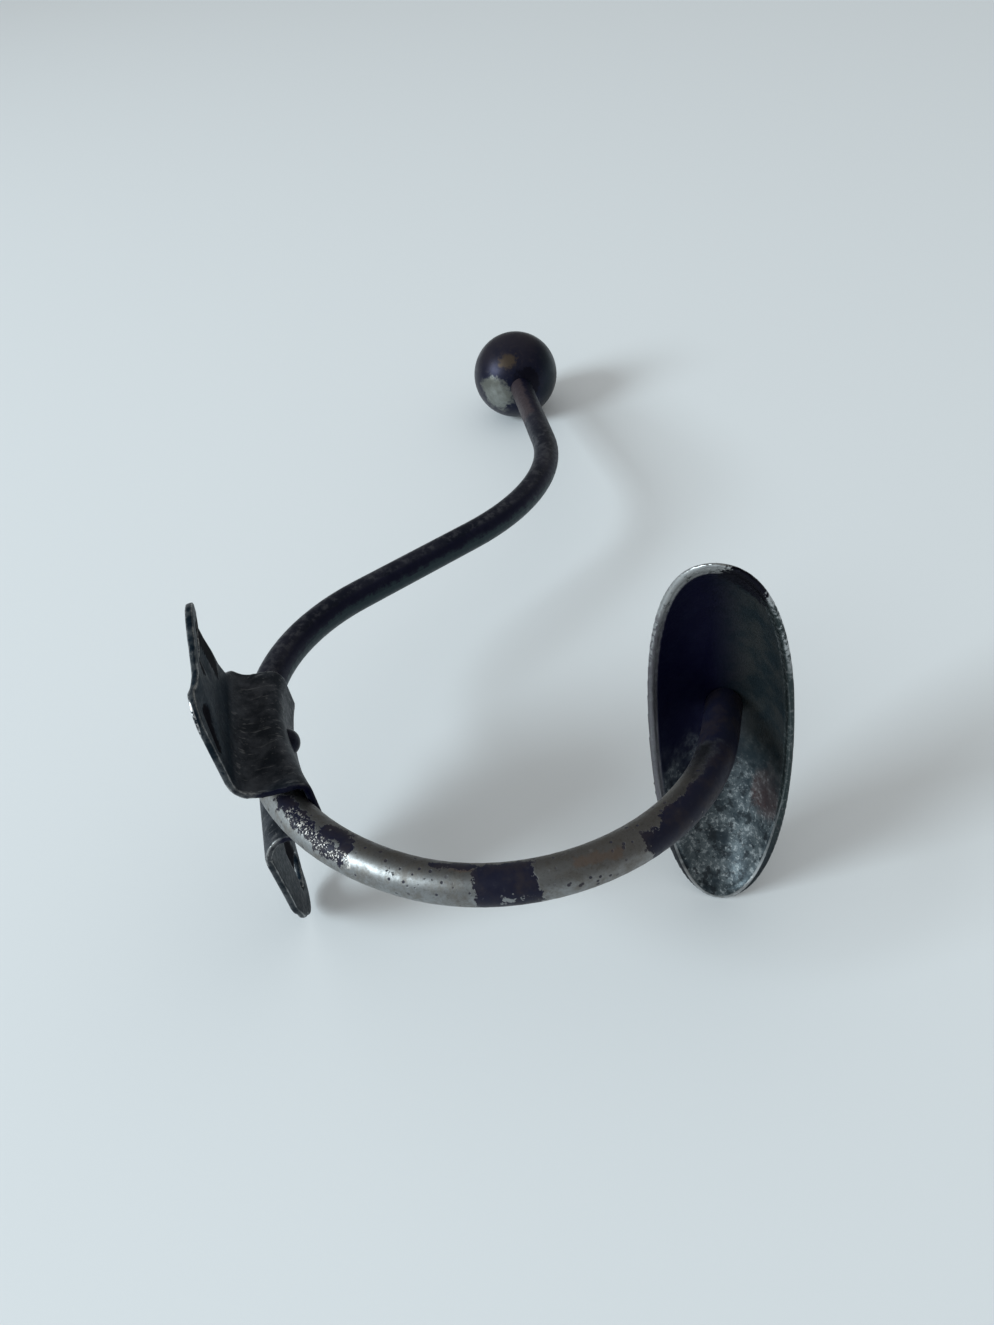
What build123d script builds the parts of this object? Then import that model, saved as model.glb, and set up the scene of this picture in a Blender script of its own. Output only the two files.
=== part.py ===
"""Hat-and-coat hook: a bent steel rod with a ball on its upper end, an oval cap on its lower end and a
pressed wall bracket riveted over its back.

Frame: +Z is up as the hook hangs, the wall is the plane Y = 0 and the hook reaches out along -Y.  The
origin is on the wall, midway between the two screw holes in the ears of the bracket.  The rod is bent in
one upright plane, which stands slightly out of square with the bracket.
All sizes are in millimetres, and leans and turns are in degrees, leans from the vertical.
"""
import os
from math import asin, cos, degrees, radians, sin, sqrt, tan

from build123d import *

# Rod, given along its centreline from where it comes nearest the wall
rod_diameter = 5.6
rod_wall_gap = 0.5
rod_skew = 3.6
touch_height = 5.1
back_radius = 47.0
shoulder_lean = 22.0
shoulder_radius = 36.0
diagonal_lean = 64.6
diagonal_length = 27.7
hat_radius = 47.0
tip_lean = 7.2
tip_length = 45.3
hook_lean = 50.0
hook_radius = 32.2
hook_end_lean = 150.0
hook_tip_length = 8.0

# Ball on the upper end of the rod
ball_diameter = 22.4
ball_bore_depth = 9.0
press_clearance = 0.02

# Oval cap on the lower end of the rod
cap_length = 62.2
cap_width = 21.2
cap_depth = 8.0
cap_wall = 2.0
cap_rim_bow = 4.2
cap_lens_drop = 7.6
cap_rim_bevel = 0.5

# Wall bracket, pressed from one sheet
sheet = 1.1
saddle_half_width = 5.2
saddle_rise = 8.1
crest_radius = 56.0
saddle_corner = 2.4
skirt_radius = 3.3
saddle_top = 17.7
saddle_top_slope = 12.0
saddle_bottom_slope = 8.0
bracket_bottom = 13.4
collar_top_half = 6.5
collar_foot_half = 8.5
collar_foot_height = 14.5
collar_round = 3.0
foot_half = 22.6
foot_round = 4.5
notch_round = 1.5
ear_reach = 31.5
ear_round = 5.0
ear_height = -2.0
ear_hole_spacing = 48.0
hole_diameter = 5.6

# Rivet through the saddle and the rod
rivet_height = 3.0
rivet_diameter = 3.0
rivet_head_diameter = 4.2
rivet_head_height = 1.4

rod_radius = rod_diameter / 2
rod_out = rod_wall_gap + rod_radius
ball_radius = ball_diameter / 2
overshoot = 5 * sheet
pick_band = 0.01

# Drawing planes: local x is out from the wall and local y is up, or local x is across and local y is up.
side = Plane(origin=(0, 0, 0), x_dir=(0, -1, 0), z_dir=(-1, 0, 0))
front = Plane(origin=(0, 0, 0), x_dir=(1, 0, 0), z_dir=(0, -1, 0))
skew_sin = sin(radians(rod_skew))
skew_cos = cos(radians(rod_skew))
rod_side = Plane(origin=(0, -rod_out, 0), x_dir=(skew_sin, -skew_cos, 0), z_dir=(-skew_cos, -skew_sin, 0))


# Centreline of the rod, up from the wall to the ball and down from the wall to the cap.
with BuildLine(rod_side) as upper_line:
    upper_back = JernArc((0, touch_height), (0, 1), back_radius, -shoulder_lean)
    shoulder = JernArc(upper_back @ 1, upper_back % 1, shoulder_radius, shoulder_lean - diagonal_lean)
    diagonal = Line(shoulder @ 1, (shoulder @ 1) + (shoulder % 1) * diagonal_length)
    hat_bend = JernArc(diagonal @ 1, diagonal % 1, hat_radius, diagonal_lean - tip_lean)
    ball_axis = hat_bend % 1
    ball_centre = (hat_bend @ 1) + ball_axis * tip_length
    Line(hat_bend @ 1, ball_centre - ball_axis * (ball_radius - ball_bore_depth))

with BuildLine(rod_side) as lower_line:
    lower_back = JernArc((0, touch_height), (0, -1), back_radius, hook_lean)
    hook_bend = JernArc(lower_back @ 1, lower_back % 1, hook_radius, hook_end_lean - hook_lean)
    cap_axis = hook_bend % 1
    cap_seat = (hook_bend @ 1) + cap_axis * hook_tip_length
    Line(hook_bend @ 1, cap_seat)


# Ball, bored for the end of the rod.
ball_plane = Plane(origin=ball_centre, x_dir=(skew_cos, skew_sin, 0), z_dir=ball_axis)
with BuildPart(ball_plane) as ball:
    Sphere(ball_radius)
    with Locations((0, 0, -ball_radius)):
        Cylinder(rod_radius + press_clearance, ball_bore_depth,
                 align=(Align.CENTER, Align.CENTER, Align.MIN), mode=Mode.SUBTRACT)
ball.part.label = "ball"


# Oval cap: a shell between two lens forms, whose bevelled rim droops towards its two long ends.
# It is made in its own frame, with the middle of its rim at the origin, and then set on the rod.
rim_radius = (cap_length / 2) ** 2 / (2 * cap_rim_bow) + cap_rim_bow / 2


def cap_form(inset):
    """Egg-shaped solid whose upper part is the outside of the cap, or its inside when inset by the wall."""
    height = cap_lens_drop + cap_rim_bow + cap_depth + cap_wall - inset
    end_size = sqrt(1 - (cap_lens_drop / height) ** 2)
    side_size = sqrt(1 - ((cap_lens_drop + cap_rim_bow) / height) ** 2)
    with BuildPart() as lens:
        Sphere(1)
        scale(by=((cap_length / 2 - inset) / end_size, (cap_width / 2 - inset) / side_size, height))
    return Pos(0, 0, -cap_rim_bow - cap_lens_drop) * lens.part


cap_outside = cap_form(0)
cap_inside = cap_form(cap_wall)
with BuildPart() as cap:
    add(cap_outside)
    add(cap_inside, mode=Mode.SUBTRACT)
    with Locations((0, 0, -rim_radius)):
        Cylinder(rim_radius, 2 * cap_width, rotation=(90, 0, 0), mode=Mode.SUBTRACT)
    chamfer(cap.faces().filter_by(GeomType.CYLINDER).edges(), cap_rim_bevel)
cap_plane = Plane(origin=cap_seat - cap_axis * cap_depth, x_dir=(skew_cos, skew_sin, 0), z_dir=cap_axis)
cap.part = cap_plane * cap.part
cap.part.label = "cap"


# Wall bracket: one sheet with two ears and a saddle pressed up along its middle, whose two ends slant.
def pressed_form(inset):
    """Solid under the front skin of the sheet, or under its back skin when inset by the sheet."""
    half_width = saddle_half_width - inset
    crest_centre = (saddle_rise + crest_radius, touch_height)
    skin_radius = crest_radius + inset
    crest_rise = saddle_top + bracket_bottom
    half_turn = degrees(asin(crest_rise / skin_radius))
    with BuildPart() as form:
        with BuildSketch(side):
            with BuildLine():
                crest = CenterArc(crest_centre, skin_radius, 180 - half_turn, 2 * half_turn)
                Polyline(crest @ 0, (-sheet, touch_height + crest_rise),
                         (-sheet, touch_height - crest_rise), crest @ 1)
            make_face()
        extrude(amount=half_width, both=True)
        crest_face = form.faces().filter_by(GeomType.CYLINDER)[0]
        fillet(crest_face.edges().filter_by(GeomType.CIRCLE), saddle_corner - inset)
        with BuildSketch(front.offset(sheet - inset)):
            with Locations((0, touch_height)):
                Rectangle(4 * ear_reach, 2 * crest_radius)
        extrude(amount=-2 * sheet)
        foot_y = inset - sheet
        feet = form.edges().filter_by(Axis.Z)
        feet = feet.filter_by_position(Axis.Y, foot_y - pick_band, foot_y + pick_band)
        feet = feet.filter_by_position(Axis.X, -half_width - pick_band, half_width + pick_band)
        fillet(feet, skirt_radius + inset)
    return form.part


def corners_at(sketch, axis, place):
    return sketch.vertices().filter_by_position(axis, place - pick_band, place + pick_band)


front_form = pressed_form(0)
back_form = pressed_form(sheet)
with BuildPart() as wall_bracket:
    with BuildSketch(front.offset(-overshoot)) as outline:
        with BuildLine():
            for sign in (1, -1):
                CenterArc((sign * (ear_reach - ear_round), ear_height), ear_round, 0, 360)
            Line((-collar_foot_half, collar_foot_height), (collar_foot_half, collar_foot_height))
        make_hull()
        with Locations((0, (ear_height - bracket_bottom) / 2)):
            Rectangle(2 * foot_half, bracket_bottom + ear_height)
        collar = [(-collar_foot_half, collar_foot_height), (collar_foot_half, collar_foot_height),
                  (collar_top_half, saddle_top), (-collar_top_half, saddle_top)]
        Polygon(*collar, align=None)
        fillet(corners_at(outline, Axis.Y, -bracket_bottom), foot_round)
        fillet(corners_at(outline, Axis.Y, collar_foot_height), collar_round)
        notches = corners_at(outline, Axis.X, foot_half) + corners_at(outline, Axis.X, -foot_half)
        fillet(notches.filter_by_position(Axis.Y, ear_height - ear_round, ear_height), notch_round)
    extrude(amount=3 * overshoot + saddle_rise)
    add(front_form, mode=Mode.INTERSECT)
    add(back_form, mode=Mode.SUBTRACT)
    with BuildSketch(side):
        with BuildLine():
            reach = 2 * saddle_rise
            top_edge = saddle_top - (reach - sheet) * tan(radians(saddle_top_slope))
            bottom_edge = (reach - sheet) * tan(radians(saddle_bottom_slope)) - bracket_bottom
            Polyline((0, saddle_top), (sheet, saddle_top), (reach, top_edge),
                     (reach, bottom_edge), (sheet, -bracket_bottom), (0, -bracket_bottom), close=True)
        make_face()
    extrude(amount=2 * ear_reach, both=True, mode=Mode.INTERSECT)
    with BuildSketch(front):
        with GridLocations(ear_hole_spacing, 1, 2, 1):
            Circle(hole_diameter / 2)
        with Locations((0, rivet_height)):
            Circle(rivet_diameter / 2 + press_clearance)
    extrude(amount=saddle_rise + overshoot, mode=Mode.SUBTRACT)
wall_bracket.part.label = "wall_bracket"


# Rivet: a domed head that fits the saddle, and a plain shank that ends flush with the back of the rod.
with BuildPart() as rivet:
    with BuildSketch(side):
        with BuildLine():
            shank_top = rivet_height + rivet_diameter / 2
            head_edge = (saddle_rise, rivet_height + rivet_head_diameter / 2)
            head_crown = (saddle_rise + rivet_head_height, rivet_height)
            Polyline(head_crown, (rod_wall_gap, rivet_height), (rod_wall_gap, shank_top),
                     (saddle_rise, shank_top), head_edge)
            TangentArc(head_crown, head_edge, tangent=(0, 1))
        make_face()
    revolve(axis=Axis((0, 0, rivet_height), (0, -1, 0)))
    add(wall_bracket.part, mode=Mode.SUBTRACT)
rivet.part.label = "rivet"


# Rod: one bar along the whole centreline, drilled for the rivet, its lower end shaped to the cap's inside.
with BuildPart() as rod:
    with BuildLine() as centreline:
        add(lower_line.line)
        add(upper_line.line)
    path = centreline.wires()[0]
    with BuildSketch(Plane(origin=path @ 0, z_dir=path % 0)):
        Circle(rod_radius)
    sweep(path=path)
    add(cap.part, mode=Mode.SUBTRACT)
    with BuildSketch(front):
        with Locations((0, rivet_height)):
            Circle(rivet_diameter / 2 + press_clearance)
    extrude(amount=saddle_rise, mode=Mode.SUBTRACT)
rod.part.label = "rod"


os.makedirs("parts", exist_ok=True)
for piece in (rod, ball, cap, wall_bracket, rivet):
    export_step(piece.part, "parts/" + piece.part.label + ".step")
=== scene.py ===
"""The dressed coat hook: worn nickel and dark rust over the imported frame, lying on a pale floor.

Places, lengths and distances are in millimetres, in the part's own frame, and MM turns them into metres.
Left, right, up and down are as the hook hangs, seen from the room: +X is right, -Y is towards the room.
"""

import bmesh
import bpy
import numpy as np
from mathutils import Matrix, Vector


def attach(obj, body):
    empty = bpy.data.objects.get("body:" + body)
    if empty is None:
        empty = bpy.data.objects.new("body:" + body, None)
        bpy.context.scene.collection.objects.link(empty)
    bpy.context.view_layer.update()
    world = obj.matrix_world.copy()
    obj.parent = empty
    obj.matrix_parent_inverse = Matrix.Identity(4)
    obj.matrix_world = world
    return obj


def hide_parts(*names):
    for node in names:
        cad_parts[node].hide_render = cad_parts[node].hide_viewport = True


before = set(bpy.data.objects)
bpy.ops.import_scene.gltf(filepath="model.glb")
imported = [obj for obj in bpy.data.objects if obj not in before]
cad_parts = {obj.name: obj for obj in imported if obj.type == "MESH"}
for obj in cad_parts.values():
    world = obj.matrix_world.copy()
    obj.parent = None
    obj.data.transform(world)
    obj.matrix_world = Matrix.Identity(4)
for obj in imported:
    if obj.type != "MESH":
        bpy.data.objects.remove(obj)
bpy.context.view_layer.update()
MM = 0.001

# The lower bend of the rod, an arc about a centre in front of the wall
bend_centre_y = -40.7
bend_centre_z = -6.2
bend_radius = 32.2

# The cap: the middle of its rim, its own three directions and its sizes
cap_middle = (4.1, -68.55, -22.3)
cap_long = (0.998, 0.0628, 0.0)
cap_wide = (-0.0544, 0.8643, 0.4999)
cap_deep = (0.0314, -0.499, 0.866)
cap_half_length = 31.1
cap_half_width = 10.6
cap_rim_bow = 4.2
cap_thinned_by = 0.6

# The corner of sheet that fills the notch under the right ear: its back and front, and its outline (x, z)
corner_back = -0.02
corner_front = -1.08
corner_outline = ((19.0, -12.6), (21.4, -12.2), (23.6, -11.0), (26.2, -8.8),
                  (28.4, -6.2), (25.0, -5.2), (19.0, -6.0))

# Size of the small faces that the two finished pieces are made of, and how often they are evened out
bracket_grain = 0.26
cap_grain = 0.3
bracket_rounds = 5
cap_rounds = 4
edge_finding_rounds = 8

# The camera, the floor and the light; the window lies (right, away, up) of the middle of the view
view_line = Vector((0.5946, -0.0894, 0.7991)).normalized()
picture_up = Vector((-0.7796, -0.3071, 0.5458))
aim = Vector((23.4, -46.5, 37.4)) * MM
camera_distance = 201
lens_millimetres = 27.03
sensor_millimetres = 36.0
nearest_seen = 10
floor_size = 6000
floor_gap = 0.05
floor_colour = (0.675, 0.72, 0.75)
window_towards = (-1.0, -0.2, 0.64)
window_distance = 2000
window_size = 800
window_watts = 33.0
window_colour = (0.85, 0.955, 1.0)
room_colour = (1.0, 1.0, 0.98)
room_strength = 0.6
room_strength_mirrored = 0.2


# ---------------------------------------------------------------- node helpers
class Graph:
    """The node tree of one material, with short names for the nodes it is made of."""

    def __init__(self, name):
        self.material = bpy.data.materials.new(name)
        self.material.use_nodes = True
        self.tree = self.material.node_tree
        self.tree.nodes.clear()
        self.out = self.node("OutputMaterial")
        self.surface = self.node("BsdfPrincipled")
        self.put(self.out.inputs["Surface"], self.surface.outputs["BSDF"])
        self.place = self.node("TexCoord").outputs["Object"]

    def node(self, kind):
        return self.tree.nodes.new("ShaderNode" + kind)

    def put(self, socket, value):
        """Links a socket to another node's result, or sets it to a number, a vector or a colour."""
        if isinstance(value, bpy.types.NodeSocket):
            self.tree.links.new(value, socket)
        elif socket.type == "RGBA":
            socket.default_value = (*value, 1.0)
        else:
            socket.default_value = value

    # Arithmetic on sockets and plain numbers alike
    def math(self, operation, a, b=0.0):
        node = self.node("Math")
        node.operation = operation
        self.put(node.inputs[0], a)
        self.put(node.inputs[1], b)
        return node.outputs[0]

    def chain(self, operation, values):
        total = values[0]
        for value in values[1:]:
            total = self.math(operation, total, value)
        return total

    def add(self, *values):
        return self.chain("ADD", values)

    def times(self, *values):
        return self.chain("MULTIPLY", values)

    def largest(self, *values):
        return self.chain("MAXIMUM", values)

    def smallest(self, *values):
        return self.chain("MINIMUM", values)

    def minus(self, a, b):
        return self.math("SUBTRACT", a, b)

    def absolute(self, value):
        return self.math("ABSOLUTE", value)

    def hypotenuse(self, a, b):
        return self.math("SQRT", self.add(self.times(a, a), self.times(b, b)))

    def centred(self, noise, gain):
        """A noise as a swing of gain about 0."""
        return self.times(self.minus(noise, 0.5), gain)

    def step(self, value, low, high, start=0.0, end=1.0):
        """Start where value is at low and end where it is at high, smooth between; low may be above high."""
        node = self.node("MapRange")
        node.interpolation_type = "SMOOTHSTEP"
        for name, number in (("Value", value), ("From Min", low), ("From Max", high),
                             ("To Min", start), ("To Max", end)):
            self.put(node.inputs[name], number)
        return node.outputs["Result"]

    def blend(self, share, a, b):
        """The number a where share is 0, and b where it is 1."""
        node = self.node("Mix")
        self.put(node.inputs[0], share)
        self.put(node.inputs[2], a)
        self.put(node.inputs[3], b)
        return node.outputs[0]

    def mix(self, share, a, b):
        """The colour a where share is 0, and b where it is 1; colours have their own sockets on the node."""
        node = self.node("Mix")
        node.data_type = "RGBA"
        self.put(node.inputs[0], share)
        self.put(node.inputs[6], a)
        self.put(node.inputs[7], b)
        return node.outputs[2]

    def vector(self, operation, a, b=(0, 0, 0)):
        node = self.node("VectorMath")
        node.operation = operation
        self.put(node.inputs[0], a)
        self.put(node.inputs[1], b)
        return node.outputs["Value" if operation in ("LENGTH", "DOT_PRODUCT") else "Vector"]

    # Noises
    def noise(self, size, detail, roughness, stretch=(1, 1, 1), shift=0.0):
        """Noise whose blotches are about size millimetres across."""
        node = self.node("TexNoise")
        moved = self.vector("ADD", self.place, (shift, 0.7 * shift, -0.4 * shift))
        self.put(node.inputs["Vector"], self.vector("MULTIPLY", moved, tuple(1 / s for s in stretch)))
        self.put(node.inputs["Scale"], 0.5 / (size * MM))
        self.put(node.inputs["Detail"], detail)
        self.put(node.inputs["Roughness"], roughness)
        return node.outputs["Fac"]

    def cells(self, size, shift):
        """Distance to scattered points about size millimetres apart, in shares of that size, for pits."""
        node = self.node("TexVoronoi")
        self.put(node.inputs["Vector"], self.vector("ADD", self.place, (shift, shift, shift)))
        self.put(node.inputs["Scale"], 1 / (size * MM))
        return node.outputs["Distance"]

    # Where a point of the surface is
    def axes(self):
        """Position on the piece in millimetres."""
        node = self.node("SeparateXYZ")
        self.put(node.inputs[0], self.place)
        return [self.times(axis, 1 / MM) for axis in node.outputs]

    def facing(self, direction):
        """1 where the surface faces a direction, and -1 where it faces away."""
        return self.vector("DOT_PRODUCT", self.node("TexCoord").outputs["Normal"], direction)

    def stored(self, name):
        """A value kept on the mesh: proud, in mm above the surroundings, or rim, 1 on the rim of the cap."""
        node = self.node("Attribute")
        node.attribute_name = name
        return node.outputs["Fac"]

    def near(self, centre, radii):
        """1 at a place on the piece, falling to 0 at its radii and below 0 beyond."""
        away = self.vector("SUBTRACT", self.place, tuple(c * MM for c in centre))
        away = self.vector("DIVIDE", away, tuple(r * MM for r in radii))
        return self.minus(1.0, self.vector("LENGTH", away))

    def along(self, points, radius):
        """1 on a line through points, falling to 0 at radius and below 0 beyond."""
        distances = []
        for start, end in zip(points, points[1:]):
            start = Vector(start) * MM
            line = Vector(end) * MM - start
            away = self.vector("SUBTRACT", self.place, tuple(start))
            share = self.vector("DOT_PRODUCT", away, tuple(line / line.length_squared))
            share = self.smallest(self.largest(share, 0.0), 1.0)
            off = self.vector("SUBTRACT", away, self.vector("MULTIPLY", tuple(line), share))
            distances.append(self.vector("LENGTH", off))
        return self.minus(1.0, self.math("DIVIDE", self.smallest(*distances), radius * MM))

    def finish(self, colour, metallic, roughness, relief, depth, shine=0.18):
        """Sets the surface; a relief of 1 stands depth millimetres high."""
        bump = self.node("Bump")
        self.put(bump.inputs["Strength"], 1.0)
        self.put(bump.inputs["Distance"], depth * MM)
        self.put(bump.inputs["Height"], relief)
        for name, value in (("Base Color", colour), ("Metallic", metallic), ("Roughness", roughness),
                            ("Specular IOR Level", shine), ("Normal", bump.outputs["Normal"])):
            self.put(self.surface.inputs[name], value)
        return self.material


# ---------------------------------------------------------------- rod
class RodMetal(Graph):
    """Nickel on the lower bend, worn and flaked to dark iron; blue-black iron on the arm, with painted shade
    and a painted teal reflection on one side; by the cap dark, partly patina and partly painted shade.
    """

    def __init__(self):
        super().__init__("rod_metal")
        self.middle = self.noise(1.6, 6, 0.65, shift=0.11)
        self.fine = self.noise(0.42, 6, 0.7, shift=0.23)
        self.grain = self.noise(0.16, 4, 0.6, shift=0.31)
        self.crumbs = self.noise(0.85, 6, 0.7, shift=0.57)
        self.ragged = self.add(self.centred(self.middle, 1.8), self.centred(self.crumbs, 3.6),
                               self.centred(self.fine, 1.8))
        y, self.height = self.axes()[1:]
        back = self.minus(y, bend_centre_y)
        down = self.minus(bend_centre_z, self.height)
        # run is 0 at the lowest of the bend and grows to the wall, and out is counted from the bend's centre
        self.run = self.times(self.math("ARCTAN2", back, down), bend_radius)
        self.out = self.hypotenuse(back, down)
        self.arm = self.step(self.add(self.height, self.times(self.ragged, 2.0)), 9.0, 13.0)
        self.worn_dots = self.find_worn_dots()

    def patch(self, run_ends, out_ends):
        """Depth in mm inside a stretch of the bend, negative outside it."""
        depths = []
        for value, (start, end) in ((self.run, run_ends), (self.out, out_ends)):
            off = self.absolute(self.minus(value, (start + end) / 2))
            depths.append(self.minus((end - start) / 2, off))
        return self.smallest(*depths)

    def find_worn_dots(self):
        """Bright dots of bare metal, where the rod comes out of the bracket."""
        place = self.along([(-2.3, -7.0, -15.7), (-1.9, -8.9, -19.5),
                            (-1.4, -10.6, -23.6), (-1.0, -13.4, -27.4)], 1.1)
        dots = self.step(self.add(self.grain, self.centred(self.fine, 0.4)), 0.54, 0.6)
        return self.times(self.step(place, -0.1, 0.5), dots)

    def flaked(self):
        """1 where the nickel has flaked off: ragged patches, which fade in only slowly by the cap."""
        patches = self.largest(
            self.patch((4.3, 12.2), (31.0, 35.5)),
            self.patch((11.0, 18.4), (30.8, 31.9)),
            self.patch((-15.0, -9.6), (33.4, 37.0)),
            self.patch((-31.0, -13.2), (32.5, 37.0)),
            self.patch((-60.0, -29.5), (25.0, 40.0)),
            self.along([(-2.2, -6.5, -13.0), (-2.2, -8.3, -18.0),
                        (-1.6, -10.6, -23.2), (-1.2, -12.4, -25.9)], 1.3),
            self.along([(-2.2, -11.6, -21.4), (-2.0, -13.6, -23.8), (-1.7, -14.0, -25.6)], 1.2))
        broken = self.add(patches, self.ragged)
        sharp = self.step(broken, -0.05, 0.15)
        fading = self.step(broken, -1.2, 0.9)
        by_cap = self.step(self.run, -20.0, -26.0)
        spared = self.step(self.minus(self.cells(1.7, 0.2), self.times(self.fine, 0.16)), 0.03, 0.0)
        spared = self.times(spared, self.step(self.run, -22.0, -16.0, 0, 0.8))
        return self.times(self.blend(by_cap, sharp, fading), self.minus(1.0, spared))

    def rusted(self):
        """1 where dark iron shows: flakes, the whole arm, scattered dots, and pits below the bracket."""
        dots = self.step(self.minus(self.cells(1.1, 0.05), self.times(self.middle, 0.4)), 0.04, -0.02)
        dots = self.times(dots, self.step(self.noise(3.5, 3, 0.6, shift=0.7), 0.38, 0.52))
        pitted = self.along([(-1.2, -18.4, -32.0), (-1.2, -21.5, -33.4),
                             (-0.6, -22.6, -35.3), (0.6, -24.5, -37.0)], 1.8)
        pits = self.step(self.add(self.centred(self.middle, 1.2), self.centred(self.fine, 1.6)), 0.16, 0.26)
        pits = self.times(self.step(pitted, 0.0, 0.6), pits)
        dark = self.largest(self.flaked(), self.arm, self.times(dots, 0.9), pits)
        return self.largest(self.minus(dark, self.worn_dots), 0.0)

    def nickel(self):
        """Plating: warm grey inside the bend, a painted reflection of shade, cooler and brighter outside, a
        painted reflection of the floor, and blue-grey by the cap, partly patina and partly painted shade.
        """
        shade_reflecting_grey = (0.135, 0.126, 0.119)
        floor_reflecting_grey = (0.27, 0.28, 0.285)
        soft_grey = (0.22, 0.21, 0.2)
        tarnish = (0.17, 0.152, 0.13)
        dark_grain = (0.07, 0.062, 0.055)
        copper = (0.25, 0.18, 0.14)
        specks = (0.1, 0.09, 0.08)
        blue_grey = (0.09, 0.098, 0.115)
        deep_blue = (0.026, 0.028, 0.042)
        streak = self.noise(2.4, 4, 0.6, stretch=(0.5, 1.6, 1.0), shift=0.41)
        # painted reflections: warm grey inside the bend reflects shade, cool bright grey outside reflects
        # the floor
        outside_reflection_share = self.step(self.add(self.out, self.centred(streak, 1.8)), 29.6, 34.4)
        colour = self.mix(outside_reflection_share, shade_reflecting_grey, floor_reflecting_grey)
        colour = self.mix(self.step(self.run, 7.0, -8.0, 0, 0.7), colour, soft_grey)
        colour = self.mix(self.step(self.crumbs, 0.4, 0.66, 0, 0.6), colour, tarnish)
        colour = self.mix(self.step(self.grain, 0.5, 0.75, 0, 0.35), colour, dark_grain)
        coppery = self.largest(self.patch((11.5, 15.5), (31.7, 32.5)),
                               self.along([(0.2, -41.5, -39.4), (0.8, -47.0, -39.4)], 1.0))
        coppery = self.step(self.add(coppery, self.times(self.ragged, 0.5)), 0.0, 0.5, 0, 0.6)
        colour = self.mix(coppery, colour, copper)
        colour = self.mix(self.step(self.fine, 0.5, 0.78, 0, 0.5), colour, specks)
        # by the cap the plating darkens to blue-grey and deep blue, partly patina and partly painted shade
        # inside the cap
        by_cap = self.step(self.add(self.run, self.centred(self.middle, 8.0)), -19.0, -27.0, 0, 0.85)
        return self.mix(by_cap, colour, self.mix(self.step(self.crumbs, 0.38, 0.62), blue_grey, deep_blue))

    def iron(self):
        """Dark iron: flecked blue-black on the arm, with a brown neck under the ball, and on one side
        painted shade and a painted teal reflection.
        """
        patch_dark = (0.009, 0.01, 0.024)
        patch_light = (0.02, 0.017, 0.024)
        arm_dark = (0.003, 0.005, 0.013)
        arm_light = (0.013, 0.014, 0.024)
        arm_flecks = (0.042, 0.044, 0.052)
        specks = (0.042, 0.042, 0.05)
        neck_brown = (0.05, 0.037, 0.042)
        painted_shade_core = (0.002, 0.003, 0.017)
        teal_reflection = (0.016, 0.031, 0.038)
        teal_reflection_above = (0.004, 0.009, 0.02)
        colour = self.mix(self.step(self.middle, 0.42, 0.66), patch_dark, patch_light)
        blotches = self.noise(3.2, 6, 0.7, stretch=(1, 1.8, 1.8), shift=0.5)
        colour = self.mix(self.arm, colour, self.mix(self.step(blotches, 0.42, 0.66), arm_dark, arm_light))
        flecks = self.times(self.arm, self.step(self.crumbs, 0.47, 0.62, 0, 0.75))
        colour = self.mix(flecks, colour, arm_flecks)
        colour = self.mix(self.step(self.fine, 0.56, 0.74, 0, 0.4), colour, specks)
        neck = self.along([(1.9, -75.5, 105.0), (2.9, -78.5, 122.0)], 6.0)
        neck = self.add(neck, self.centred(self.middle, 0.8))
        colour = self.mix(self.step(neck, 0.0, 0.6, 0, 0.8), colour, neck_brown)
        # painted shade and a painted teal reflection: on the arm's lower right side, and above its upper
        # bend on the side towards the room
        shade_and_reflection_side = self.blend(self.step(self.height, 85.0, 105.0),
                          self.facing((0.78, -0.21, -0.6)), self.facing((0.2, -0.95, -0.25)))
        shade_and_reflection_side = self.add(shade_and_reflection_side, self.centred(self.crumbs, 1.1))
        colour = self.mix(self.times(self.step(shade_and_reflection_side, -0.35, 0.0, 0, 0.9), self.arm), colour, painted_shade_core)
        teal_reflection_here = self.mix(self.step(self.height, 88.0, 100.0), teal_reflection, teal_reflection_above)
        return self.mix(self.times(self.step(shade_and_reflection_side, 0.3, 0.65), self.arm), colour, teal_reflection_here)

    def finished(self):
        bare_metal = (0.6, 0.58, 0.55)
        dark = self.rusted()
        colour = self.mix(self.worn_dots, self.mix(dark, self.nickel(), self.iron()), bare_metal)
        rough = self.blend(dark, self.step(self.crumbs, 0.3, 0.7, 0.42, 0.6),
                           self.step(self.fine, 0.3, 0.7, 0.36, 0.55))
        relief = self.add(self.times(dark, -0.5), self.times(self.fine, 0.35))
        return self.finish(colour, self.blend(dark, 1.0, 0.15), rough, relief, 0.06)


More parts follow.
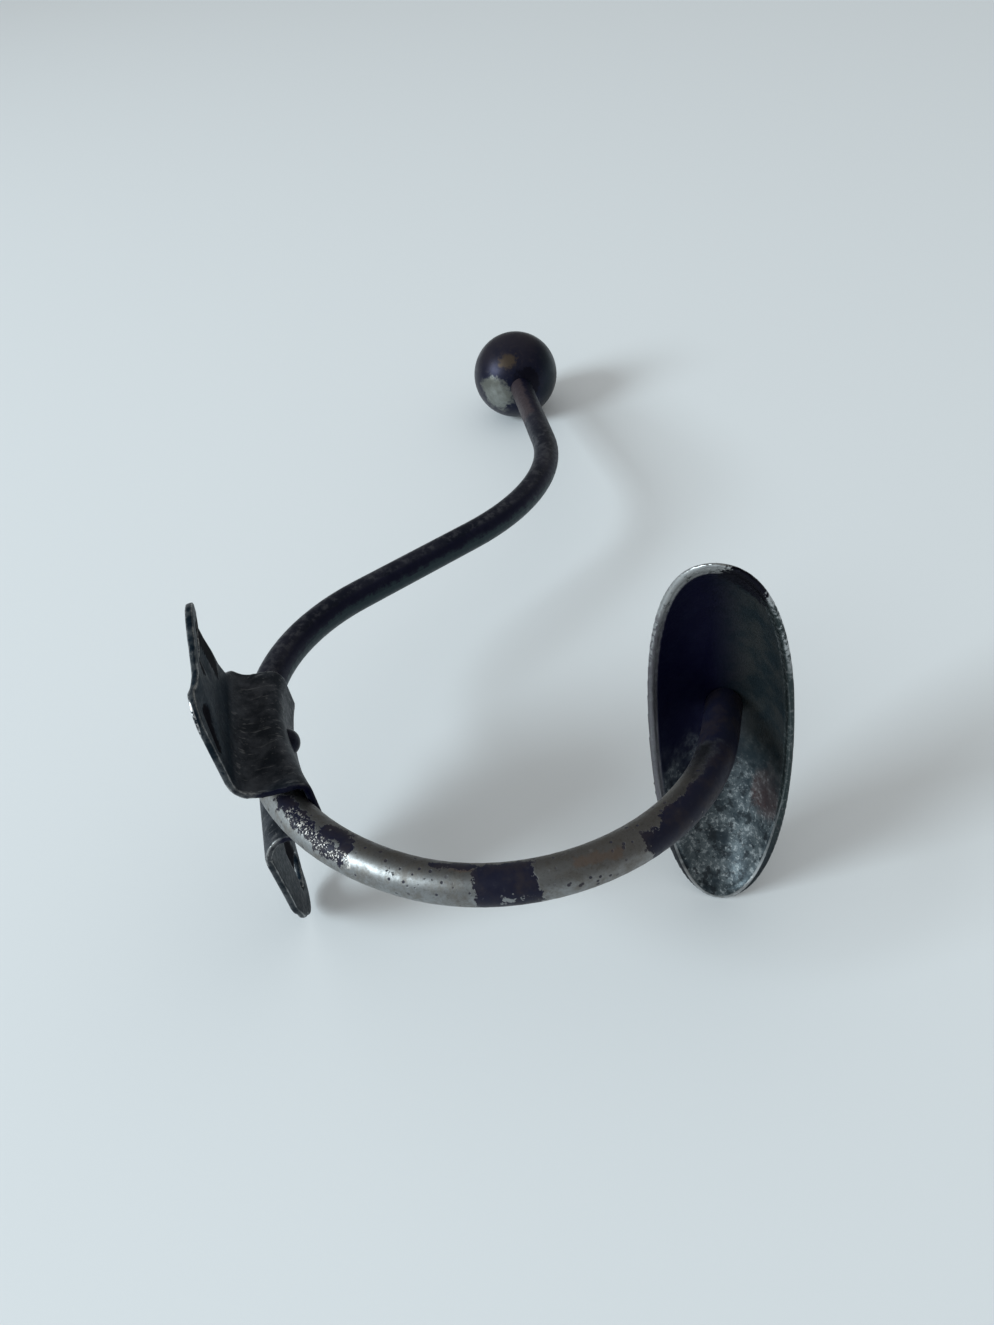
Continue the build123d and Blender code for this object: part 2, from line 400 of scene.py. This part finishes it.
# ---------------------------------------------------------------- ball and rivet
def ball_metal():
    """Blue-black iron, with a painted teal reflection towards the room, and a silvery, a tan and a black
    place by the rod.
    """
    violet = (0.026, 0.024, 0.036)
    blue_black = (0.008, 0.01, 0.026)
    specks = (0.05, 0.042, 0.045)
    teal_reflection = (0.008, 0.017, 0.024)
    silver_light = (0.28, 0.295, 0.28)
    silver_dark = (0.15, 0.155, 0.14)
    tan = (0.066, 0.05, 0.038)
    black = (0.005, 0.005, 0.012)
    g = Graph("ball_metal")
    broad = g.noise(8, 5, 0.55)
    middle = g.noise(2.2, 5, 0.6, shift=0.11)
    fine = g.noise(0.6, 5, 0.7, shift=0.2)
    ragged = g.add(g.centred(middle, 1.5), g.centred(fine, 0.8))
    silvery = g.step(g.add(g.near((6.2, -72.9, 126.7), (6.6, 5.2, 5.4)), ragged), 0.0, 0.4)
    tanned = g.add(g.near((-2.4, -79.0, 127.4), (3.6, 3.4, 3.0)), g.times(ragged, 1.4))
    blackened = g.add(g.near((3.2, -82.4, 124.0), (4.6, 4.2, 3.6)), ragged)
    room_side = g.add(g.facing((0.197, -0.947, -0.252)), g.centred(middle, 0.5))
    colour = g.mix(g.step(broad, 0.36, 0.64), blue_black, violet)
    colour = g.mix(g.step(fine, 0.5, 0.75, 0, 0.4), colour, specks)
    # painted teal reflection on the side towards the room
    colour = g.mix(g.step(room_side, 0.45, 0.85, 0, 0.8), colour, teal_reflection)
    colour = g.mix(silvery, colour, g.mix(g.step(middle, 0.35, 0.65), silver_light, silver_dark))
    colour = g.mix(g.step(tanned, 0.1, 0.7), colour, tan)
    colour = g.mix(g.step(blackened, 0.0, 0.3), colour, black)
    rough = g.blend(silvery, g.step(middle, 0.3, 0.7, 0.3, 0.44), 0.34)
    return g.finish(colour, g.blend(silvery, 0.5, 1.0), rough, g.times(fine, 0.5), 0.04)


def rivet_metal():
    """Blue-black iron, mottled more finely than the ball."""
    blue_black = (0.005, 0.007, 0.015)
    violet = (0.018, 0.019, 0.032)
    g = Graph("rivet_metal")
    fine = g.noise(0.6, 5, 0.65, shift=0.2)
    return g.finish(g.mix(g.step(fine, 0.4, 0.65), blue_black, violet), 0.6,
                    g.step(fine, 0.3, 0.7, 0.3, 0.46), fine, 0.04)


# ---------------------------------------------------------------- bracket
class PlateMetal(Graph):
    """Dark pressed sheet: grey and finely scratched on the saddle, smooth and blue-black beside it."""

    def __init__(self):
        super().__init__("plate_metal")
        self.middle = self.noise(1.8, 6, 0.65, shift=0.1)
        self.fine = self.noise(0.4, 6, 0.7, shift=0.2)
        self.scratch = self.noise(0.55, 4, 0.6, stretch=(1.0, 4.0, 0.7), shift=0.3)
        x, y, z = self.axes()
        self.saddle = self.step(self.add(self.absolute(x), self.centred(self.middle, 2.4)), 9.5, 6.5)
        # the saddle's lower end, over the bend
        self.low_end = self.times(self.step(y, -2.0, -4.0), self.step(z, -7.0, -9.0))
        # a painted highlight, at the corner of the left foot
        self.highlight_spot = self.step(self.near((-20.4, -0.05, -12.4), (3.4, 0.5, 2.8)), 0.0, 0.3)

    def blackened(self):
        """1 in the black hollows: dark wear on the left foot, and painted shade in and around the ear holes,
        one mark on the right ear and two on the left ear.
        """
        hole_shade_and_foot_mark = self.largest(
            self.along([(-18.0, -1.1, -8.7), (-15.4, -1.1, -9.7), (-13.4, -1.3, -10.3)], 1.5),
            self.along([(17.0, -0.9, -0.6), (24.5, -0.9, -1.0)], 2.7),
            self.along([(-26.0, -2.8, -1.5), (-21.5, -1.8, -1.5)], 2.4),
            self.along([(-24.5, -2.3, 3.4), (-19.0, -1.7, 5.6), (-14.5, -1.4, 7.6)], 2.3))
        return self.step(self.add(hole_shade_and_foot_mark, self.centred(self.fine, 1.2)), 0.0, 0.3)

    def wear_and_highlight_edges(self):
        """1 on the rubbed edges, partly wear and partly painted highlight, with hardly any on the cut end of
        the saddle over the lower bend.
        """
        proud = self.add(self.stored("proud"), self.centred(self.fine, 0.12))
        bright = self.times(self.step(proud, 0.06, 0.12), self.step(self.middle, 0.38, 0.6, 0.15, 0.9))
        rubbed = self.times(self.step(proud, 0.02, 0.05, 0, 0.16), self.step(self.middle, 0.4, 0.6))
        edge = self.times(self.largest(bright, rubbed), self.blend(self.low_end, 1.0, 0.15))
        return self.largest(edge, self.times(self.highlight_spot, self.step(self.fine, 0.42, 0.56)))

    def sheet_colour(self):
        """The sheet before its hollows and edges."""
        saddle_dark = (0.009, 0.0125, 0.018)
        saddle_light = (0.04, 0.045, 0.054)
        smooth_dark = (0.001, 0.007, 0.014)
        smooth_light = (0.006, 0.015, 0.025)
        scratches = (0.112, 0.116, 0.122)
        saddle = self.mix(self.step(self.middle, 0.38, 0.66), saddle_dark, saddle_light)
        smooth = self.mix(self.step(self.middle, 0.35, 0.7), smooth_dark, smooth_light)
        light = self.largest(self.step(self.scratch, 0.56, 0.68), self.step(self.fine, 0.58, 0.7))
        light = self.times(light, self.step(self.saddle, 0, 1, 0.1, 0.6))
        return self.mix(light, self.mix(self.saddle, smooth, saddle), scratches)

    def finished(self):
        black = (0.003, 0.003, 0.006)
        shade_navy = (0.002, 0.003, 0.014)
        wear_and_highlight = (0.36, 0.37, 0.37)
        bright = (0.62, 0.63, 0.64)
        hollow = self.blackened()
        edge = self.wear_and_highlight_edges()
        # painted shade in navy on the saddle's cut end over the lower bend
        cut = self.times(self.low_end, self.step(self.facing((0.0, 0.0, -1.0)), 0.45, 0.75))
        colour = self.mix(cut, self.mix(hollow, self.sheet_colour(), black), shade_navy)
        # edges partly worn and partly painted highlight, and a painted highlight at the corner of the left
        # foot
        colour = self.mix(edge, colour, self.mix(self.highlight_spot, wear_and_highlight, bright))
        rough = self.blend(edge, self.step(self.fine, 0.3, 0.7, 0.4, 0.6), 0.35)
        rough = self.blend(hollow, rough, 0.95)
        relief = self.add(self.times(self.fine, 0.5), self.times(self.scratch, 0.3))
        metallic = self.times(self.blend(edge, 0.12, 0.95), self.blend(hollow, 1.0, 0.0))
        return self.finish(colour, metallic, rough, relief, 0.06, shine=0.09)


# ---------------------------------------------------------------- cap
class CapMetal(Graph):
    """Cap: a blue-black hollow tinted navy as painted shade and lighter towards the room as painted light,
    mottled grey and flecked white towards its right end, with a worn rim and a painted highlight along its
    lip.
    """

    def __init__(self):
        super().__init__("cap_metal")
        here = self.vector("SUBTRACT", self.place, tuple(c * MM for c in cap_middle))
        self.long = self.times(self.vector("DOT_PRODUCT", here, cap_long), 1 / MM)
        self.wide = self.times(self.vector("DOT_PRODUCT", here, cap_wide), 1 / MM)
        self.middle = self.noise(2.0, 6, 0.65, shift=0.1)
        self.fine = self.noise(0.3, 6, 0.7, shift=0.2)
        self.rim = self.stored("rim")
        out = self.hypotenuse(self.times(self.long, 1 / cap_half_length),
                              self.times(self.wide, 1 / cap_half_width))
        # the lip follows the rim's inner edge at the sides, and nears its outer edge at the right end
        self.off_lip = self.minus(out, self.step(self.long, 12.0, 30.0, 0.925, 0.985))

    def ragged(self, value, gain):
        """A value whose borders are made uneven by a swing of gain."""
        return self.add(value, self.centred(self.middle, gain))

    def hollow(self):
        """The inside: blue-black tinted navy as painted shade, greyer towards the room as painted light on
        the lit wall, mottled and stained red at the right end.
        """
        blue_black = (0.002, 0.002, 0.024)
        deep_blue = (0.005, 0.006, 0.03)
        lit_wall_dark = (0.018, 0.028, 0.034)
        lit_wall_light = (0.04, 0.045, 0.046)
        grey_dark = (0.03, 0.042, 0.052)
        grey_light = (0.11, 0.135, 0.148)
        white_flecks = (0.3, 0.33, 0.345)
        dark_flecks = (0.022, 0.028, 0.034)
        reddish = (0.09, 0.045, 0.042)
        # the dark inside is tinted navy as painted shade; its side towards the room is painted lighter as
        # painted light on the lit wall
        dark = self.mix(self.step(self.middle, 0.4, 0.65), blue_black, deep_blue)
        room_side = self.mix(self.step(self.middle, 0.36, 0.62), lit_wall_dark, lit_wall_light)
        dark = self.mix(self.step(self.ragged(self.wide, 4.0), 2.5, -4.0), dark, room_side)
        grey = self.mix(self.step(self.middle, 0.36, 0.6), grey_dark, grey_light)
        grey = self.mix(self.step(self.ragged(self.fine, 0.5), 0.52, 0.66), grey, white_flecks)
        flecks = self.noise(0.8, 5, 0.65, shift=0.6)
        grey = self.mix(self.step(flecks, 0.52, 0.62, 0, 0.85), grey, dark_flecks)
        stain = self.ragged(self.near((16.5, -74.2, -23.5), (7.5, 4.5, 5.0)), 1.2)
        grey = self.mix(self.times(self.step(stain, 0.15, 0.5), 0.55), grey, reddish)
        return self.mix(self.step(self.ragged(self.long, 9.0), 4.0, 17.0), dark, grey)

    def rim_colour(self):
        """The rim: lighter towards the wall, bright at the left end and dark at the right, with chips."""
        room_side = (0.035, 0.048, 0.05)
        wall_side = (0.15, 0.145, 0.16)
        bright = (0.5, 0.51, 0.51)
        dark = (0.03, 0.036, 0.042)
        chipped = (0.02, 0.02, 0.024)
        rubbed = (0.28, 0.3, 0.3)
        colour = self.mix(self.step(self.wide, -6.0, 6.0), room_side, wall_side)
        left_end = self.times(self.step(self.ragged(self.long, 3.0), -20.0, -25.0),
                              self.step(self.ragged(self.wide, 3.0), -3.5, -1.0))
        colour = self.mix(left_end, colour, bright)
        colour = self.mix(self.step(self.long, 12.0, 24.0, 0, 0.85), colour, dark)
        chips = self.step(self.add(self.centred(self.middle, 1.2), self.centred(self.fine, 1.6)), 0.12, 0.26)
        colour = self.mix(self.times(chips, 0.8), colour, chipped)
        rubs = self.times(self.step(self.fine, 0.5, 0.66), self.step(self.long, 10.0, 20.0, 0.5, 0.12))
        return self.mix(rubs, colour, rubbed)

    def wear_and_highlight_line(self):
        """1 on worn metal at the left end's edges, and on a painted highlight in a thin line along the lip,
        plainest at the right end.
        """
        edge = self.times(self.step(self.stored("proud"), 0.03, 0.09),
                          self.step(self.ragged(self.fine, 0.8), 0.4, 0.55),
                          self.step(self.long, -8.0, -20.0))
        # the thin line along the lip is a painted highlight
        line = self.times(self.step(self.absolute(self.off_lip), 0.012, 0.005),
                          self.step(self.rim, 0.05, 0.3),
                          self.step(self.ragged(self.long, 8.0), 8.0, 20.0, 0.1, 1.0),
                          self.step(self.wide, 9.0, 4.0, 0.5, 1.0))
        return self.largest(edge, self.times(line, self.step(self.middle, 0.35, 0.5, 0.4, 1.0)))

    def finished(self):
        wear_and_highlight = (0.5, 0.52, 0.53)
        burnt = (0.008, 0.008, 0.014)
        edge = self.wear_and_highlight_line()
        # at the right end only what lies outside the lip is coloured as rim
        outer_rim = self.largest(self.step(self.long, 20.0, 10.0), self.step(self.off_lip, -0.01, 0.0))
        colour = self.mix(self.times(self.rim, outer_rim), self.hollow(), self.rim_colour())
        # wear on the left end's edges and a painted highlight along the lip
        colour = self.mix(self.times(edge, 0.85), colour, wear_and_highlight)
        chip = self.add(self.near((-22.5, -71.5, -26.3), (7.0, 4.0, 4.0)), self.centred(self.fine, 1.6))
        colour = self.mix(self.step(chip, 0.1, 0.3), colour, burnt)
        metallic = self.blend(self.largest(self.rim, edge), 0.55, 0.9)
        rough = self.blend(edge, self.step(self.fine, 0.3, 0.7, 0.36, 0.55), 0.3)
        relief = self.add(self.times(self.fine, 0.5), self.times(self.middle, 0.4))
        return self.finish(colour, metallic, rough, relief, 0.07)


# ---------------------------------------------------------------- pieces whose CAD shape stays
def dress(node, material):
    """Gives a CAD node a better material without touching its mesh."""
    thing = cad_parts[node]
    thing.data.materials.clear()
    thing.data.materials.append(material)


dress("rod", RodMetal().finished())
dress("ball", ball_metal())
dress("rivet", rivet_metal())


# ---------------------------------------------------------------- pressed pieces, finished
def add_corner(mesh, outline):
    """Adds a flat corner of sheet to a mesh, given by its outline (x, z)."""
    joined = bmesh.new()
    joined.from_mesh(mesh)
    back = [joined.verts.new((x * MM, corner_back * MM, z * MM)) for x, z in outline]
    fore = [joined.verts.new((x * MM, corner_front * MM, z * MM)) for x, z in outline]
    joined.faces.new(fore)
    joined.faces.new(back[::-1])
    for i in range(len(outline)):
        j = (i + 1) % len(outline)
        joined.faces.new((back[i], back[j], fore[j], fore[i]))
    bmesh.ops.recalc_face_normals(joined, faces=joined.faces)
    joined.to_mesh(mesh)
    joined.free()


def fine_copy(node, name, grain, material, corner=()):
    """A dense copy of a CAD node that stands for it, with faces about grain across.

    A corner, given by its outline, is merged into it.
    """
    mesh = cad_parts[node].data.copy()
    if corner:
        add_corner(mesh, corner)
    piece = bpy.data.objects.new(name, mesh)
    bpy.context.scene.collection.objects.link(piece)
    remesh = piece.modifiers.new("remesh", "REMESH")
    remesh.mode = "VOXEL"
    remesh.voxel_size = grain * MM
    graph = bpy.context.evaluated_depsgraph_get()
    dense = bpy.data.meshes.new_from_object(piece.evaluated_get(graph))
    piece.modifiers.clear()
    piece.data = dense
    dense.materials.clear()
    dense.materials.append(material)
    for polygon in dense.polygons:
        polygon.use_smooth = True
    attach(piece, "root")
    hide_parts(node)
    return piece


def each_vertex(mesh, field):
    """The co or the normal of every vertex, one row for each."""
    flat = np.empty(len(mesh.vertices) * 3)
    mesh.vertices.foreach_get(field, flat)
    return flat.reshape(-1, 3)


def reshape(mesh, points):
    mesh.vertices.foreach_set("co", points.ravel())
    mesh.update()


def store(mesh, name, values):
    """Keeps a value for each vertex on the mesh, for its material to read."""
    mesh.attributes.new(name, "FLOAT", "POINT").data.foreach_set("value", values)


def soften(mesh, points, rounds):
    """Moves every vertex half way to the mean of its neighbours, some rounds over, to round the edges."""
    pairs = np.empty(len(mesh.edges) * 2, int)
    mesh.edges.foreach_get("vertices", pairs)
    pairs = pairs.reshape(-1, 2)
    count = np.bincount(pairs.ravel(), minlength=len(points))[:, None]
    for _ in range(rounds):
        total = np.zeros_like(points)
        np.add.at(total, pairs[:, 0], points[pairs[:, 1]])
        np.add.at(total, pairs[:, 1], points[pairs[:, 0]])
        points = points + (total / count - points) / 2
    return points


def mark_edges(mesh):
    """Stores how far each vertex stands out from its surroundings."""
    points = each_vertex(mesh, "co")
    out = (points - soften(mesh, points, edge_finding_rounds)) * each_vertex(mesh, "normal")
    store(mesh, "proud", out.sum(axis=1) / MM)


# ---------------------------------------------------------------- shape of the bracket
def rising(values, start, end):
    """0 up to start and 1 from end on, in a straight line between; start may be above end."""
    return np.clip((values - start) / (end - start), 0, 1)


def line_distance(x, z, start, end):
    """Distance on the sheet from a short line."""
    along_x = end[0] - start[0]
    along_z = end[1] - start[1]
    share = ((x - start[0]) * along_x + (z - start[1]) * along_z) / (along_x ** 2 + along_z ** 2)
    share = np.clip(share, 0, 1)
    return np.hypot(x - start[0] - share * along_x, z - start[1] - share * along_z)


def bent_in_use(points):
    """Moves that bend the left ear forward, bow the right skirt forward and dish three narrow places."""
    ear_x = (-31.5, -30.0, -26.9, -23.7, -22.9, -20.0, -16.0, -12.0)
    ear_forward = (2.85, 2.6, 2.05, 1.15, 0.9, 0.6, 0.4, 0.0)
    skirt_x = (5.0, 8.0, 15.0, 22.0, 27.0)
    skirt_forward = (0.0, 0.1, 0.3, 0.4, 0.0)
    dishes = (((17.5, -2.2), (24.0, -2.3)), ((-25.5, -1.0), (-19.0, 1.0)), ((-18.0, -8.7), (-13.5, -10.2)))
    dish_depth = 0.45
    dish_radius = 2.6
    x, y, z = (points / MM).T
    ear = np.interp(x, ear_x, ear_forward) * rising(z, -9.5, -7.0)
    skirt = np.interp(x, skirt_x, skirt_forward)
    dished = sum(dish_depth * rising(line_distance(x, z, *ends), dish_radius, 0) for ends in dishes)
    forward = (ear + skirt - dished) * rising(y, -5, -2)
    return np.stack((np.zeros_like(x), -forward, np.zeros_like(x)), axis=1) * MM


def set_to_outline(points):
    """Moves that shorten the tips of the ears, narrow the saddle's right top and lower its bottom end."""
    tip_shorter = 1.1
    top_narrower = 0.8
    end_lower = 1.3
    x, y, z = (points / MM).T
    shorter = np.sign(x) * tip_shorter * rising(np.abs(x), 26.5, 31.5)
    narrower = top_narrower * rising(x, 0, 4) * rising(z, 3, 13) * rising(y, -2, -6)
    lower = end_lower * rising(y, -3, -8) * rising(z, -4, -12)
    return np.stack((-narrower - shorter, np.zeros_like(x), -lower), axis=1) * MM


bracket = fine_copy("wall_bracket", "bracket_plate", bracket_grain, PlateMetal().finished(), corner_outline)
mark_edges(bracket.data)
shape = soften(bracket.data, each_vertex(bracket.data, "co"), bracket_rounds)
reshape(bracket.data, shape + bent_in_use(shape) + set_to_outline(shape))


# ---------------------------------------------------------------- shape of the cap
cap_origin = np.array(cap_middle) * MM
cap_axes = np.array((cap_long, cap_wide, cap_deep))


def in_cap(points):
    """Places along the length, the width and the depth of the cap, from the middle of its rim."""
    return ((points - cap_origin) @ cap_axes.T / MM).T


def squarer_cap(points):
    """The oval is a little fuller at its four shoulders than an ellipse, and longer at its left end."""
    shoulders_fuller = 0.045
    left_end_longer = 0.03
    long, wide, deep = in_cap(points)
    turn = np.arctan2(wide / cap_half_width, long / cap_half_length)
    reach = np.clip(np.hypot(wide / cap_half_width, long / cap_half_length), 0, 1)
    fuller = 1 + shoulders_fuller * np.sin(2 * turn) ** 2 * reach
    longer = 1 + left_end_longer * rising(-long, 0, cap_half_length)
    moved = np.stack((long * fuller * longer, wide * fuller, deep), axis=1) * MM
    return cap_origin + moved @ cap_axes


def mark_rim(mesh):
    """Stores 1 on the rim, which is a round-bellied cut over the length of the cap."""
    long, _, deep = in_cap(each_vertex(mesh, "co"))
    rim_radius = cap_half_length ** 2 / (2 * cap_rim_bow) + cap_rim_bow / 2
    off = np.abs(deep - (np.sqrt(rim_radius ** 2 - long ** 2) - rim_radius))
    store(mesh, "rim", rising(off, 0.45, 0.15))


def thinned(mesh, depth):
    """The cap's points with its inner wall drawn outwards by depth, and none of its outer wall."""
    inward_gain = 2.5
    least_length = 1e-9
    points = each_vertex(mesh, "co")
    normals = each_vertex(mesh, "normal")
    long, wide, _ = in_cap(points)
    outward = np.stack((long / cap_half_length ** 2, wide / cap_half_width ** 2), axis=1)
    length = np.hypot(*outward.T) + least_length
    facing_in = -((normals @ cap_axes.T)[:, :2] * outward).sum(axis=1) / length
    inner = np.clip(inward_gain * facing_in, 0, 1)
    return points - normals * (inner * depth * MM)[:, None]


cap = fine_copy("cap", "oval_cap", cap_grain, CapMetal().finished())
mark_edges(cap.data)
mark_rim(cap.data)
reshape(cap.data, squarer_cap(soften(cap.data, thinned(cap.data, cap_thinned_by), cap_rounds)))


# ---------------------------------------------------------------- floor, under the places the hook rests on
def resting_face():
    """The middle and the outward direction of the face of the hook's hull that lies on the floor.

    The hook lies on its right side, so of the hull's faces that look right it is the largest.
    """
    looks_right = 0.9
    hull = bmesh.new()
    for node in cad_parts.values():
        for vertex in node.data.vertices:
            hull.verts.new(vertex.co)
    bmesh.ops.convex_hull(hull, input=hull.verts)
    hull.normal_update()
    right_faces = [face for face in hull.faces if face.normal.x > looks_right]
    largest = max(right_faces, key=lambda face: face.calc_area())
    middle = largest.calc_center_median()
    outward = largest.normal.copy()
    hull.free()
    return middle, outward


def floor_paint():
    """Pale matt paint, clear from below, so that the floor blocks no view."""
    paint = Graph("floor_paint")
    paint.put(paint.surface.inputs["Base Color"], floor_colour)
    paint.put(paint.surface.inputs["Roughness"], 0.6)
    paint.put(paint.surface.inputs["Specular IOR Level"], 0.2)
    either = paint.node("MixShader")
    paint.put(either.inputs[0], paint.node("NewGeometry").outputs["Backfacing"])
    paint.put(either.inputs[1], paint.surface.outputs["BSDF"])
    paint.put(either.inputs[2], paint.node("BsdfTransparent").outputs["BSDF"])
    paint.put(paint.out.inputs["Surface"], either.outputs["Shader"])
    return paint.material


def square_floor(centre, turn):
    """A flat square under the hook."""
    mesh = bpy.data.meshes.new("floor")
    half = floor_size / 2 * MM
    corners = [(-half, -half, 0), (half, -half, 0), (half, half, 0), (-half, half, 0)]
    mesh.from_pydata(corners, [], [(0, 1, 2, 3)])
    mesh.materials.append(floor_paint())
    thing = bpy.data.objects.new("floor", mesh)
    bpy.context.scene.collection.objects.link(thing)
    thing.matrix_world = Matrix.Translation(centre) @ turn


rest_point, rest_outward = resting_face()
floor_up = -rest_outward
away = (view_line - floor_up * view_line.dot(floor_up)).normalized()
across = away.cross(floor_up)
floor_turn = Matrix((across, away, floor_up)).transposed().to_4x4()
square_floor(rest_point - floor_up * floor_gap * MM, floor_turn)


# ---------------------------------------------------------------- light and camera
def light_room():
    """An even world, dimmer where it is mirrored, so that the dark iron stays dark."""
    world = bpy.data.worlds.new("room")
    bpy.context.scene.world = world
    world.use_nodes = True
    tree = world.node_tree
    sky = tree.nodes["Background"]
    sky.inputs["Color"].default_value = (*room_colour, 1)
    mirrored = tree.nodes.new("ShaderNodeLightPath").outputs["Is Glossy Ray"]
    dimmer = tree.nodes.new("ShaderNodeMath")
    dimmer.operation = "MULTIPLY_ADD"
    dimmer.inputs[1].default_value = room_strength_mirrored - room_strength
    dimmer.inputs[2].default_value = room_strength
    tree.links.new(mirrored, dimmer.inputs[0])
    tree.links.new(dimmer.outputs[0], sky.inputs["Strength"])


def hang_window():
    """A soft square lamp, to the left of the camera and above the floor."""
    data = bpy.data.lights.new("window", "AREA")
    data.size = window_size * MM
    data.energy = window_watts
    data.color = window_colour
    thing = bpy.data.objects.new("window", data)
    bpy.context.scene.collection.objects.link(thing)
    right, far, up = window_towards
    line = (across * right + away * far + floor_up * up).normalized()
    thing.location = aim + line * (window_distance * MM)
    thing.rotation_euler = (-line).to_track_quat("-Z", "Y").to_euler()


def place_camera():
    data = bpy.data.cameras.new("camera")
    data.sensor_width = sensor_millimetres
    data.lens = lens_millimetres
    data.clip_start = nearest_seen * MM
    camera = bpy.data.objects.new("camera", data)
    bpy.context.scene.collection.objects.link(camera)
    right = view_line.cross(picture_up).normalized()
    turn = Matrix((right, right.cross(view_line), -view_line)).transposed()
    camera.matrix_world = Matrix.Translation(aim - view_line * (camera_distance * MM)) @ turn.to_4x4()
    bpy.context.scene.camera = camera


light_room()
hang_window()
place_camera()
bpy.context.scene.view_settings.view_transform = "Standard"
